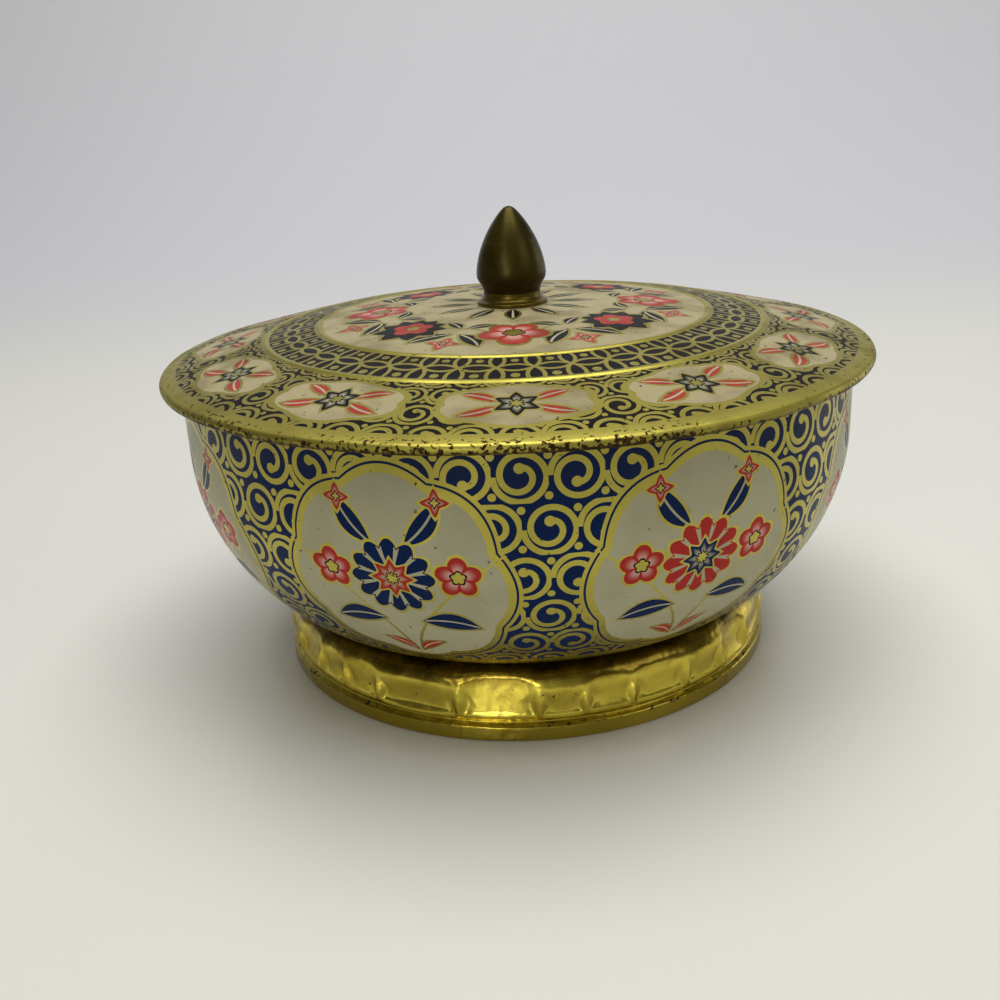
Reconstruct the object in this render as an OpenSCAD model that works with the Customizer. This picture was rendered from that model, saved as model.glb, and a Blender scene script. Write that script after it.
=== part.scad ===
// Footed biscuit tin: a round-sided bowl of pressed tinplate on a pressed foot,
// with a domed slip-over lid and a turned brass knob.
// Millimetres, +Z up. The tin stands on z = 0 and the Z axis is its own axis.

/* [Sheet] */
// Thickness of the tinplate
sheet_t = 0.3; // [0.25:0.05:0.4]

/* [Bowl] */
// Outside diameter of the upright wall
bowl_d = 189; // [180:0.2:210]
// Height from the bottom to the top of the rolled rim
bowl_h = 66; // [58:0.5:76]
// Height of the upright wall, rolled rim included
wall_h = 21.5; // [16:0.5:28]
// Diameter of the flat bottom
bottom_d = 142.5; // [134:0.5:152]
// Outside radius of the corner between side and bottom
corner_r = 3; // [2:0.25:5]
// Diameter of the rolled rim
rim_roll_d = 2.6; // [2:0.1:3.2]

/* [Foot] */
// Height of the foot, from the table to the bowl's bottom
foot_h = 22.5; // [20:0.5:30]
// Outside diameter of the base band
band_d = 145.2; // [138:0.2:152]
// Height of the base band
band_h = 4.2; // [3.4:0.2:6]
// How far the groove above the band lies inside it
groove_depth = 1.7; // [1.4:0.1:2.4]
// How far the puckered wall stands out from the groove
wall_bulge = 1.2; // [1:0.05:1.6]
// Height of the puckered wall
pucker_h = 11; // [9:0.5:12]
// Number of flattened faces round the puckered wall
pucker_count = 28; // [26:1:40]
// Share of a face's width by which its creases stray from even spacing
pucker_stray = 0.21; // [0:0.01:0.24]
// Height of the lens-shaped pleat in each crease
pleat_h = 6; // [5:0.5:7]
// Width of a pleat at its middle
pleat_w = 1.4; // [1.2:0.1:1.8]
// How far a pleat stands out from its crease
pleat_proud = 0.35; // [0.2:0.05:0.5]
// Width of the sloping shoulder under the bowl
shoulder_w = 9; // [7:0.5:12]
// Radius of the bend between the shoulder and the wall
shoulder_bend = 7; // [4:0.5:9]
// Width of the flat flange that carries the bowl
flange_w = 18; // [14:0.5:24]
// Width of the turned-in edge that rests on the table
hem_w = 2.2; // [1.6:0.1:3]

/* [Foot rivets] */
// Number of rivets that hold the foot to the bowl
rivet_count = 4; // [3:1:8]
// Diameter of a rivet's shank
rivet_d = 3.2; // [2.4:0.1:4]
// Diameter of a rivet's heads
rivet_head_d = 6; // [5:0.2:7]
// Height of a rivet's domed head inside the bowl
rivet_head_h = 1.2; // [0.8:0.1:1.6]
// Thickness of a rivet's closed tail under the flange
rivet_tail_h = 0.8; // [0.6:0.1:1.2]

/* [Lid] */
// Diameter of the lid's rolled edge
lid_roll_d = 2.8; // [2.4:0.1:3.6]
// Rise of the dome above the rolled edge
lid_rise = 11.6; // [8:0.2:14]
// How late the dome turns down: higher is flatter in the middle
dome_power = 1.9; // [1.6:0.05:3]
// Diameter of the inner raised ring
ring_in_d = 111.2; // [90:0.2:120]
// Diameter of the outer raised ring
ring_out_d = 141.4; // [134:0.2:156]
// Width of the raised rings
ring_w = 2.4; // [1.8:0.1:3.2]
// Height of the raised rings
ring_h = 0.35; // [0.3:0.05:0.7]

/* [Knob] */
// Diameter of the collar's flange
collar_d = 20; // [18:0.2:24]
// Thickness of the collar's flange
collar_flange_h = 1.2; // [0.8:0.1:1.6]
// Height of the whole collar
collar_h = 3.6; // [2.8:0.1:4]
// Diameter of the neck, where collar and bud meet
neck_d = 16.2; // [13:0.2:17]
// Largest diameter of the bud
bud_d = 19.8; // [17.6:0.2:24]
// Height of the bud, from neck to tip
bud_h = 23.4; // [20:0.2:32]
// Height above the neck at which the bud is widest
bud_wide_z = 4.8; // [4:0.1:6.5]

/* [Knob screw] */
// Thread diameter of the screw
screw_d = 4; // [3:0.5:5]
// Diameter of the screw's head
screw_head_d = 8; // [7.6:0.2:9]
// Height of the screw's head
screw_head_h = 2.6; // [2:0.1:3.2]
// Length of thread inside the bud
thread_l = 9; // [6:0.5:12]
// Outside diameter of the washer
washer_d = 12; // [10:0.5:14]
// Thickness of the washer
washer_t = 0.8; // [0.5:0.1:1.2]

/* [Fits] */
// Gap between the lid and the bowl's rim, at the seat and round the edge
lid_gap = 0.4; // [0.25:0.05:0.6]
// Gap round a shank in its hole
hole_gap = 0.1; // [0.05:0.05:0.2]

/* [Hidden] */
$fn = 96;

// Largest turn, in degrees, between neighbouring points of a wide and of a tight arc
wide_step = 3;
tight_step = 18;
half_t = sheet_t/2;
// Spare length by which a cutter passes the faces that it cuts
over = 1;

// Bowl: the side is one arc, tangent to the wall and to the bottom corner
bowl_r = bowl_d/2;
bottom_r = bottom_d/2;
rim_z = foot_h + bowl_h;
wall_z = rim_z - wall_h;
corner_c = [bottom_r, foot_h + corner_r];
side_in = bowl_r - bottom_r;
side_drop = wall_z - corner_c[1];
side_r = (side_in*side_in + side_drop*side_drop - corner_r*corner_r)/(2*(side_in - corner_r));
side_c = [bowl_r - side_r, wall_z];
side_turn = atan2(side_drop, bottom_r - side_c[0]);
rim_c = [bowl_r - sheet_t + rim_roll_d/2, rim_z - rim_roll_d/2];
rim_turn = 290;

// Foot
band_r = band_d/2;
groove_r = band_r - groove_depth;
groove_rise = 0.7;
groove_z = band_h + groove_rise;
pucker_r = groove_r + wall_bulge;
pucker_z = groove_z + pucker_h;
flange_r = pucker_r - shoulder_w;
flange_in_r = flange_r - flange_w;
flange_bend = 2;
pucker_bend = 1.2;
groove_bend = 0.5;
band_bend = 0.6;
// How far the creases stand out from the bulged wall, and the direction of the first
crease_proud = 0.1;
crease_start = -131.1;
crease_r = pucker_r + crease_proud;
// The creases' stray: two waves of different pitch round the wall
stray_turn = [96, 61.5];
stray_start = [198, 220.7];
stray_share = [1, 1.2];
// Radius of the arc on a pleat's side
pleat_arc_r = (pleat_h*pleat_h + pleat_w*pleat_w)/(4*pleat_w);
pleat_c_r = crease_r + pleat_proud - pleat_w/2;
// The pleats sit in the middle of the wall's upright stretch, below the shoulder's bend
shoulder_turn = 90 - atan2(foot_h - half_t - pucker_z, shoulder_w);
upright_z = pucker_z - shoulder_bend*tan(shoulder_turn/2);
pleat_c_z = (groove_z + 2*pucker_bend + upright_z)/2;

// Rivets, on a ring in the middle of the flange
rivet_ring_r = flange_r - flange_w/2;
rivet_hole_r = rivet_d/2 + hole_gap;
rivet_cap_r = (rivet_head_d*rivet_head_d/4 + rivet_head_h*rivet_head_h)/(2*rivet_head_h);

// Lid: its rolled edge passes outside the bowl's rolled rim
lid_r = bowl_r - sheet_t + rim_roll_d + lid_gap + lid_roll_d;
lid_roll_r = (lid_roll_d - sheet_t)/2;
lid_turn = 285;
seat_margin = 4;
lid_flat_r = collar_d/2 + seat_margin;
edge_slope = atan(lid_rise*dome_power/(lid_r - lid_roll_d/2 - lid_flat_r));
dome_r = lid_r - half_t - lid_roll_r*(1 - sin(edge_slope));
// Centre of the rolled edge, at the height that holds the dome lid_gap above the rim
lid_c_r = lid_r - lid_roll_d/2;
lid_c_z = rim_c[1] + (rim_roll_d/2 + lid_gap + half_t - lid_roll_r
    - sin(edge_slope)*(lid_c_r - rim_c[0]))/cos(edge_slope);
dome_edge_z = lid_c_z + lid_roll_r*cos(edge_slope);
lid_top_z = dome_edge_z + lid_rise + half_t;

// Knob, stacked on the lid's flat centre
neck_z = lid_top_z + collar_h;
screw_hole_r = screw_d/2 + hole_gap;
washer_z = lid_top_z - sheet_t - washer_t;
collar_edge = 0.4;
collar_cove = 0.8;
// How full the bud is between its widest place and its tip
bud_power = 1.68;
bud_fullness = 0.73;
bud_steps = 18;
slot_w = 1;
slot_depth = 1.2;

// Points of an arc round c, from angle a to angle b
function arc(c, r, a, b, step) =
    let (n = max(2, ceil(abs(b - a)/step)))
    [for (i = [0:n]) c + r*[cos(a + (b - a)*i/n), sin(a + (b - a)*i/n)]];

// Evenly spaced numbers from a up to b, without b itself
function span(a, b, n) = [for (i = [0:n - 1]) a + (b - a)*i/n];

// A list without its first entry, and a list turned round
function rest(list) = [for (i = [1:len(list) - 1]) list[i]];
function reversed(list) = [for (i = [len(list) - 1:-1:0]) list[i]];

// Left-hand unit normal of the stretch from p to q
function normal(p, q) = let (d = (q - p)/norm(q - p)) [-d[1], d[0]];

// A line moved to its left by d, with its corners mitred
function moved(line, d) =
    let (n = len(line) - 1)
    [for (i = [0:n])
        let (
            a = normal(line[max(i - 1, 0)], line[max(i, 1)]),
            b = normal(line[min(i, n - 1)], line[min(i + 1, n)])
        )
        line[i] + (a + b)*d/(1 + a*b)];

// Outline of a sheet whose middle follows a line
function sheet(line) = concat(moved(line, half_t), reversed(moved(line, -half_t)));

// The arc of radius r that rounds the corner q between p and s
function bend(p, q, s, r) =
    let (
        u = (p - q)/norm(p - q),
        v = (s - q)/norm(s - q),
        half = acos(u*v)/2,
        c = q + (u + v)/norm(u + v)*r/sin(half),
        from = q + u*r/tan(half) - c,
        to = q + v*r/tan(half) - c,
        a = atan2(from[1], from[0]),
        b = atan2(to[1], to[0])
    )
    arc(c, r, a, a + (b - a + 540)%360 - 180, tight_step);

// A line through [x, z, bend radius] corners, with its ends left plain
function rounded(corners) =
    let (n = len(corners) - 1, p = [for (k = corners) [k[0], k[1]]])
    [for (i = [0:n]) each (i == 0 || i == n || corners[i][2] == 0)
        ? [p[i]]
        : bend(p[i - 1], p[i], p[i + 1], corners[i][2])];

// Middle of the bowl's sheet, from the axis out to the end of the rolled rim
function bowl_line() = concat(
    [[0, foot_h + half_t]],
    arc(corner_c, corner_r - half_t, -90, -side_turn, tight_step),
    rest(arc(side_c, side_r - half_t, -side_turn, 0, wide_step)),
    arc(rim_c, (rim_roll_d - sheet_t)/2, 180, 180 - rim_turn, tight_step)
);

// Middle of the foot's sheet, from the flange's inner edge out and down to the hem
function foot_line() = rounded([
    [flange_in_r, foot_h - half_t, 0],
    [flange_r, foot_h - half_t, flange_bend],
    [pucker_r - half_t, pucker_z, shoulder_bend],
    [pucker_r - half_t, groove_z + pucker_bend*2, pucker_bend],
    [groove_r - half_t, groove_z, groove_bend],
    [band_r - half_t, band_h - half_t, band_bend],
    [band_r - half_t, half_t, band_bend],
    [band_r - hem_w, half_t, 0]
]);

// Stray of a crease from even spacing, as a share of a face's width
function stray(i) =
    pucker_stray*(stray_share*[for (k = [0, 1]) sin(stray_turn[k]*i + stray_start[k])]);

// Directions of the creases in the puckered wall
function crease_angles() =
    [for (i = [0:pucker_count - 1]) crease_start + (i + stray(i))*360/pucker_count];

// Raised ring on the lid, as a share of its height
function ring_share(x) = abs(x) < 0.5 ? pow(cos(180*x), 2) : 0;

// Height of the middle of the lid's sheet at a radius
function dome_z(r) =
    dome_edge_z
    + lid_rise*(1 - pow(max(r - lid_flat_r, 0)/(dome_r - lid_flat_r), dome_power))
    + ring_h*ring_share((r - ring_in_d/2)/ring_w)
    + ring_h*ring_share((r - ring_out_d/2)/ring_w);

// Middle of the lid's sheet, from the screw's hole out to the end of the rolled edge
function lid_line() =
    let (
        radii = concat(
            [screw_hole_r],
            span(lid_flat_r, (ring_in_d - ring_w)/2, 10),
            span((ring_in_d - ring_w)/2, (ring_in_d + ring_w)/2, 8),
            span((ring_in_d + ring_w)/2, (ring_out_d - ring_w)/2, 5),
            span((ring_out_d - ring_w)/2, (ring_out_d + ring_w)/2, 8),
            span((ring_out_d + ring_w)/2, dome_r, 9)
        )
    )
    concat(
        [for (r = radii) [r, dome_z(r)]],
        arc([lid_c_r, lid_c_z], lid_roll_r, 90 - edge_slope, 90 - edge_slope - lid_turn, tight_step)
    );

// Half outline of the bud, from the neck up to the tip
function bud_line() =
    let (top_h = bud_h - bud_wide_z)
    concat(
        [for (z = span(0, bud_wide_z, 6))
            [(neck_d + (bud_d - neck_d)*pow(sin(90*z/bud_wide_z), 2))/2, z]],
        [for (u = span(0, 1, bud_steps))
            [bud_d/2*pow(1 - pow(u, bud_power), bud_fullness), bud_wide_z + top_h*u]],
        [[0, bud_h]]
    );

// Children repeated at the rivets' places
module rivet_places() {
    for (i = [0:rivet_count - 1])
        rotate((i + 0.5)*360/rivet_count) translate([rivet_ring_r, 0, 0]) children();
}

// Pressed tinplate bowl with a rolled rim
module bowl() {
    color("ivory")
    difference() {
        rotate_extrude() polygon(sheet(bowl_line()));
        rivet_places() translate([0, 0, foot_h - over]) cylinder(r = rivet_hole_r, h = sheet_t + 2*over);
    }
}

// A pleat, lens-shaped from every side with its ridge outwards: the outer face at d = half_t,
// the inner at -half_t
module pleat(d) {
    r = pleat_arc_r - half_t + d;
    c = pleat_w/2 - pleat_arc_r;
    turn = acos(-c/r);
    side = [for (p = arc([c, 0], r, -turn, turn, turn/2)) [p[0]/sqrt(2), p[1]]];
    back = [for (i = [len(side) - 2:-1:1]) [-side[i][0], side[i][1]]];
    intersection() {
        rotate([90, 0, 45]) linear_extrude(2*pleat_w, center = true) polygon(concat(side, back));
        rotate([90, 0, -45]) linear_extrude(2*pleat_w, center = true) polygon(concat(side, back));
    }
}

// Everything inside one face of the foot's sheet: the outer face at d = half_t, the inner at -half_t.
// The flattened faces trim the wall between the groove and the top, and a pleat runs down each crease.
module foot_form(d) {
    face = moved(foot_line(), d);
    trim_r = crease_r - half_t + d;
    last = face[len(face) - 1];
    intersection() {
        rotate_extrude() polygon(concat([[0, face[0][1]]], face, [[last[0], -half_t + d], [0, -half_t + d]]));
        union() {
            translate([0, 0, -over]) cylinder(r = band_r + over, h = groove_z + over);
            translate([0, 0, groove_z]) linear_extrude(foot_h)
                polygon([for (a = crease_angles()) trim_r*[cos(a), sin(a)]]);
        }
    }
    for (a = crease_angles())
        rotate(a) translate([pleat_c_r, 0, pleat_c_z]) pleat(d);
}

// Pressed foot: flange, sloping shoulder, puckered wall, groove and base band
module foot() {
    color("goldenrod")
    difference() {
        foot_form(half_t);
        foot_form(-half_t);
        translate([0, 0, -over]) cylinder(r = band_r - hem_w, h = band_h);
        translate([0, 0, band_h]) cylinder(r = flange_in_r, h = foot_h);
        rivet_places() translate([0, 0, foot_h - sheet_t - over]) cylinder(r = rivet_hole_r, h = sheet_t + 2*over);
    }
}

// Rivets through the foot's flange and the bowl's bottom
module foot_rivets() {
    flange_z = foot_h - sheet_t;
    inside_z = foot_h + sheet_t;
    head_r = rivet_head_d/2;
    cap_angle = asin(head_r/rivet_cap_r);
    color("gold")
    rivet_places() rotate_extrude() polygon(concat(
        [[0, flange_z - rivet_tail_h], [head_r, flange_z - rivet_tail_h], [head_r, flange_z]],
        [[rivet_d/2, flange_z], [rivet_d/2, inside_z]],
        arc([0, inside_z + rivet_head_h - rivet_cap_r], rivet_cap_r, 90 - cap_angle, 90, tight_step)
    ));
}

// Domed tinplate lid with two raised rings and a rolled edge
module lid() {
    color("ivory")
    rotate_extrude() polygon(sheet(lid_line()));
}

// Turned bud, bored from below for the screw
module knob_bud() {
    color("darkolivegreen")
    translate([0, 0, neck_z])
    difference() {
        rotate_extrude() polygon(concat([[0, 0]], bud_line()));
        translate([0, 0, -over]) cylinder(r = screw_hole_r, h = thread_l + 2*over);
    }
}

// Turned brass collar between the bud and the lid
module knob_collar() {
    color("darkgoldenrod")
    translate([0, 0, lid_top_z])
    rotate_extrude() polygon(rounded([
        [screw_hole_r, 0, 0],
        [collar_d/2, 0, collar_edge],
        [collar_d/2, collar_flange_h, collar_edge],
        [neck_d/2, collar_flange_h + collar_cove, collar_cove],
        [neck_d/2, collar_h, 0],
        [screw_hole_r, collar_h, 0]
    ]));
}

// Slotted screw that holds the knob from inside the lid
module knob_screw() {
    head_r = screw_head_d/2;
    color("silver")
    difference() {
        translate([0, 0, washer_z]) rotate_extrude() polygon(rounded([
            [0, -screw_head_h, 0],
            [head_r, -screw_head_h, screw_head_h/2],
            [head_r, 0, 0],
            [screw_d/2, 0, 0],
            [screw_d/2, neck_z + thread_l - washer_z, 0],
            [0, neck_z + thread_l - washer_z, 0]
        ]));
        translate([-head_r - over, -slot_w/2, washer_z - screw_head_h - over])
            cube([screw_head_d + 2*over, slot_w, slot_depth + over]);
    }
}

// Washer between the screw's head and the lid
module screw_washer() {
    color("lightgray")
    translate([0, 0, washer_z])
    difference() {
        cylinder(d = washer_d, h = washer_t);
        translate([0, 0, -over]) cylinder(r = screw_hole_r, h = washer_t + 2*over);
    }
}

bowl();
foot();
foot_rivets();
lid();
knob_bud();
knob_collar();
knob_screw();
screw_washer();
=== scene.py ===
"""Looks of a footed biscuit tin: printed bowl and lid, puckered gold foot, turned brass knob."""

import math

import bmesh
import bpy
from mathutils import Matrix, Vector


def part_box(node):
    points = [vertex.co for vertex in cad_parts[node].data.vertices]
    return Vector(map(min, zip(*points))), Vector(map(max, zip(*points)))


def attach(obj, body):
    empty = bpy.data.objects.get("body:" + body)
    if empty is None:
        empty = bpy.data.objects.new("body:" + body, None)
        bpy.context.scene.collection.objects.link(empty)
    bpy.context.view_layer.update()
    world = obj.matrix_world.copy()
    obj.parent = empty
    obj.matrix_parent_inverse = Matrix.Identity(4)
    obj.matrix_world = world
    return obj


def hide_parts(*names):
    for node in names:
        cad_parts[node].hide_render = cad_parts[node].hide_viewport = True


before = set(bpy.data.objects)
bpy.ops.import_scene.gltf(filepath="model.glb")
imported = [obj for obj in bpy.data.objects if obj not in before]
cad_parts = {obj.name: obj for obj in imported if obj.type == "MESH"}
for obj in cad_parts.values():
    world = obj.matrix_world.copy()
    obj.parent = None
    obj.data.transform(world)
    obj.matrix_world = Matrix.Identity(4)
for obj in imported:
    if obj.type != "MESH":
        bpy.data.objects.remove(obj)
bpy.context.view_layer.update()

# Sizes are in millimetres, and the meshes are scaled to metres as they are made
MM = 0.001


def box_mm(node):
    """Lowest and highest corner of a CAD node, in millimetres."""
    return [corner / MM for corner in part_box(node)]


bowl_low, bowl_high = box_mm("bowl")
foot_high = box_mm("foot")[1]
lid_high = box_mm("lid")[1]
bud_low, bud_high = box_mm("knob_bud")
collar_low, collar_high = box_mm("knob_collar")

# Sheet
SHEET = 0.3
HALF = SHEET / 2

# Steps of the meshes: degrees along arcs and bends, steps round the axis and longest row of the foot
ARC_STEP = 2.5
BEND_STEP = 12
WEDGES = 16
SHEET_AROUND = 16 * WEDGES
FOOT_AROUND = 45 * WEDGES
KNOB_AROUND = 6 * WEDGES
FOOT_ROW = 0.95

# Bowl: a flat bottom, one side arc and an upright wall with a rolled rim
BOTTOM_Z = bowl_low.z
RIM_Z = bowl_high.z
RIM_ROLL = 2.6
RIM_TURN = 290
BOWL_R = bowl_high.x - RIM_ROLL + SHEET
WALL_H = 21.5
WALL_Z = RIM_Z - WALL_H
BOTTOM_R = 71.25
CORNER_R = 3.0
SIDE_IN = BOWL_R - BOTTOM_R
SIDE_DROP = WALL_Z - BOTTOM_Z - CORNER_R
SIDE_R = (SIDE_IN**2 + SIDE_DROP**2 - CORNER_R**2) / (2 * (SIDE_IN - CORNER_R))
SIDE_C = BOWL_R - SIDE_R
SIDE_TURN = math.degrees(math.atan2(SIDE_DROP, BOTTOM_R - SIDE_C))

# Foot: flange, shoulder, puckered wall, groove and base band
BAND_R = foot_high.x
FOOT_H = foot_high.z
BAND_H = 4.2
BAND_BEND = 0.6
HEM_W = 2.2
GROOVE_DEPTH = 1.7
GROOVE_H = 0.7
GROOVE_BEND = 0.5
GROOVE_R = BAND_R - GROOVE_DEPTH
GROOVE_Z = BAND_H + GROOVE_H
PUCKER_BULGE = 1.2
PUCKER_H = 11
PUCKER_BEND = 1.2
PUCKER_R = GROOVE_R + PUCKER_BULGE
PUCKER_LOW_Z = GROOVE_Z + 2 * PUCKER_BEND
PUCKER_Z = GROOVE_Z + PUCKER_H
SHOULDER_W = 9
SHOULDER_BEND = 7
SHOULDER_TURN = math.pi / 2 - math.atan2(FOOT_H - HALF - PUCKER_Z, SHOULDER_W)
UPRIGHT_Z = PUCKER_Z - SHOULDER_BEND * math.tan(SHOULDER_TURN / 2)
FLANGE_R = PUCKER_R - SHOULDER_W
FLANGE_W = 18
FLANGE_BEND = 2

# Creases in the foot's wall. Two waves make them stray from even spacing: share, turn per crease and start
CREASES = 28
CREASE_FIRST = -131.1
CREASE_STRAY = 0.21
STRAY_WAVES = ((1.0, 96, 198), (1.2, 61.5, 220.7))

# Faces between the creases: pressed in, leaning and hollow, by shares that vary from face to face.
# They fade out between two heights above the groove
PRESSED = 0.3
PRESSED_TURN = 2.4
LEAN = 0.18
LEAN_TURN = 3.7
LEAN_START = 3.04
HOLLOW = 0.55
HOLLOW_TURN = 4.1
SOFT_EDGE = 0.8
FADE_LOW = 0.6
FADE_HIGH = 3.0

# Pleats: a lens-shaped ridge on each crease, with a valley on either side. A pleat's tips keep a share of
# its width, and the valleys' distance from its ridge is counted in widths
PLEAT_Z = (PUCKER_LOW_Z + UPRIGHT_Z) / 2
PLEAT_HALF = 3.8
PLEAT_PROUD = 0.7
PLEAT_W = 1.3
PLEAT_TIP = 0.3
VALLEY_DEPTH = 0.7
VALLEY_OFF = 1.8

# Lid: a dome with two raised rings and a rolled edge
LID_R = lid_high.x
LID_TOP_Z = collar_low.z
LID_ROLL = 2.8
LID_ROLL_R = (LID_ROLL - SHEET) / 2
LID_TURN = 285
LID_RISE = 11.6
DOME_POWER = 1.9
FLAT_R = 14.0
HOLE_R = 2.1
RINGS = (55.6, 70.7)
RING_W = 2.4
RING_H = 0.35
EDGE_SLOPE = math.degrees(math.atan(LID_RISE * DOME_POWER / (LID_R - LID_ROLL / 2 - FLAT_R)))
DOME_R = LID_R - HALF - LID_ROLL_R * (1 - math.sin(math.radians(EDGE_SLOPE)))
DOME_EDGE_Z = LID_TOP_Z - HALF - LID_RISE
LID_ROLL_C = (LID_R - LID_ROLL / 2, DOME_EDGE_Z - LID_ROLL_R * math.cos(math.radians(EDGE_SLOPE)))

# Rows of the lid's mesh in its stretches from the flat to the edge: plain, ring, plain, ring, plain
LID_ROWS = (16, 12, 8, 12, 14)

# The lid's edge is out of true by three waves: height, waves round the lid and start
LID_WAVES = ((0.10, 3, 0.6), (0.07, 7, 0.0), (0.05, 16, 2.0))
LID_WAVE_POWER = 6

# Knob: a bud with a bore, on a collar
NECK_R = 8.1
NECK_Z = bud_low.z
BUD_R = bud_high.x
BUD_WIDE_Z = NECK_Z + 4.8
BUD_LINE_Z = NECK_Z + 14.1
BUD_POWER = 1.68
BUD_FULLNESS = 0.73
NECK_ROWS = 10
BUD_ROWS = 40
TIP_ROUNDING = 0.15
TIP_POWER = 12
TIP_Z = bud_high.z
BORE_Z = NECK_Z + 10
COLLAR_R = collar_high.x
COLLAR_FLANGE = 1.0
COLLAR_LOW_BEND = 0.4
COLLAR_TOP_BEND = 0.35
COVE_RISE = 0.6
COVE_BEND = 2.0

# Edges that turn more sharply than this are shaded sharp, in degrees
SHARP_ANGLE = 40


# Outlines

def arc(centre, radius, start, end, step):
    """Points of an arc from one angle to another, in degrees."""
    count = max(2, math.ceil(abs(end - start) / step))
    angles = [math.radians(start + (end - start) * i / count) for i in range(count + 1)]
    return [Vector((centre[0] + radius * math.cos(a), centre[1] + radius * math.sin(a))) for a in angles]


def bend(before, corner, after, radius):
    """The arc that rounds a corner between two straight stretches."""
    ways = [(point - corner).normalized() for point in (before, after)]
    half = ways[0].angle(ways[1]) / 2
    centre = corner + (ways[0] + ways[1]).normalized() * radius / math.sin(half)
    start, end = [corner + way * radius / math.tan(half) - centre for way in ways]
    first = math.degrees(math.atan2(start.y, start.x))
    turn = (math.degrees(math.atan2(end.y, end.x)) - first + 540) % 360 - 180
    return arc(centre, radius, first, first + turn, BEND_STEP)


def rounded(corners):
    """A line through (radius, height, bend) corners, whose ends stay plain."""
    points = [Vector(corner[:2]) for corner in corners]
    line = [points[0]]
    for before, corner, after, entry in zip(points, points[1:], points[2:], corners[1:]):
        line += bend(before, corner, after, entry[2]) if entry[2] else [corner]
    return line + [points[-1]]


def divided(line, longest):
    """A line with points added so that no stretch is longer than a given length."""
    fine = [line[0]]
    for start, end in zip(line, line[1:]):
        count = math.ceil((end - start).length / longest)
        fine += [start.lerp(end, (i + 1) / count) for i in range(count)]
    return fine


def steps(start, end, count):
    """Evenly spaced numbers from start up to end, without end itself."""
    return [start + (end - start) * i / count for i in range(count)]


# Meshes

def turned(outline, around, closed=False):
    """A bmesh turned round the Z axis from (radius, height) points: one wedge, then its copies."""
    bm = bmesh.new()
    points = [bm.verts.new((r * MM, 0, z * MM)) for r, z in outline]
    ends = points[1:] + points[:1] if closed else points[1:]
    edges = [bm.edges.new(pair) for pair in zip(points, ends)]
    wedge = math.tau / WEDGES
    bmesh.ops.spin(bm, geom=points + edges, axis=(0, 0, 1), steps=around // WEDGES, angle=wedge)
    bmesh.ops.spin(
        bm,
        geom=bm.verts[:] + bm.edges[:] + bm.faces[:],
        axis=(0, 0, 1),
        steps=WEDGES - 1,
        angle=math.tau - wedge,
        use_duplicate=True,
    )
    bmesh.ops.remove_doubles(bm, verts=bm.verts, dist=1e-6)
    bmesh.ops.recalc_face_normals(bm, faces=bm.faces)
    return bm


def finished(name, bm, body, slot, *materials):
    """The object of a finished bmesh, in the place of the CAD node of the same name."""
    mesh = bpy.data.meshes.new(name)
    bm.to_mesh(mesh)
    bm.free()
    for material in materials:
        mesh.materials.append(material)
    mesh.shade_smooth()
    mesh.set_sharp_from_angle(angle=math.radians(SHARP_ANGLE))
    piece = bpy.data.objects.new(name + "_made", mesh)
    bpy.context.scene.collection.objects.link(piece)
    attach(piece, body)
    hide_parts(name)
    return piece


def thicken(piece):
    """Gives a sheet its thickness, with the second material on its inner face."""
    sheet = piece.modifiers.new("sheet", "SOLIDIFY")
    sheet.thickness = SHEET * MM
    sheet.offset = 0
    sheet.use_even_offset = True
    sheet.material_offset = 1


def make_bowl(outside, lining):
    """Bowl sheet from the axis out to the end of the rolled rim."""
    rim_c = (BOWL_R - SHEET + RIM_ROLL / 2, RIM_Z - RIM_ROLL / 2)
    corner_c = (BOTTOM_R, BOTTOM_Z + CORNER_R)
    line = [Vector((0, BOTTOM_Z + HALF))]
    line += arc(corner_c, CORNER_R - HALF, -90, -SIDE_TURN, BEND_STEP)
    line += arc((SIDE_C, WALL_Z), SIDE_R - HALF, -SIDE_TURN, 0, ARC_STEP)[1:]
    line += arc(rim_c, (RIM_ROLL - SHEET) / 2, 180, 180 - RIM_TURN, BEND_STEP)
    bm = turned(line, SHEET_AROUND)
    # An open bowl comes out of the turning with its inside facing out
    bmesh.ops.reverse_faces(bm, faces=bm.faces)
    thicken(finished("bowl", bm, "bowl_and_foot", "printed_tin", outside, lining))


def crease_angles():
    """Directions of the creases in the puckered wall, in radians."""
    angles = []
    for k in range(CREASES):
        stray = sum(share * math.sin(math.radians(turn * k + start)) for share, turn, start in STRAY_WAVES)
        angles.append(math.radians(CREASE_FIRST + (k + CREASE_STRAY * stray) * 360 / CREASES))
    return angles


def faces_round():
    """For each step round the foot: its face, the turn from that face's middle and half the face's width."""
    creases = crease_angles()
    places = []
    for step in range(FOOT_AROUND):
        turns = [(crease - math.tau * step / FOOT_AROUND) % math.tau for crease in creases]
        after = min(turns)
        before = math.tau - max(turns)
        places.append((turns.index(after), (before - after) / 2, (before + after) / 2))
    return places


def smooth(low, high, value):
    """A smooth climb from 0 at low to 1 at high."""
    share = min(max((value - low) / (high - low), 0), 1)
    return share * share * (3 - 2 * share)


def face_share(face, turn):
    """A share from 0.2 to 1 that differs from face to face."""
    return 0.6 + 0.4 * math.sin(turn * face)


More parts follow.
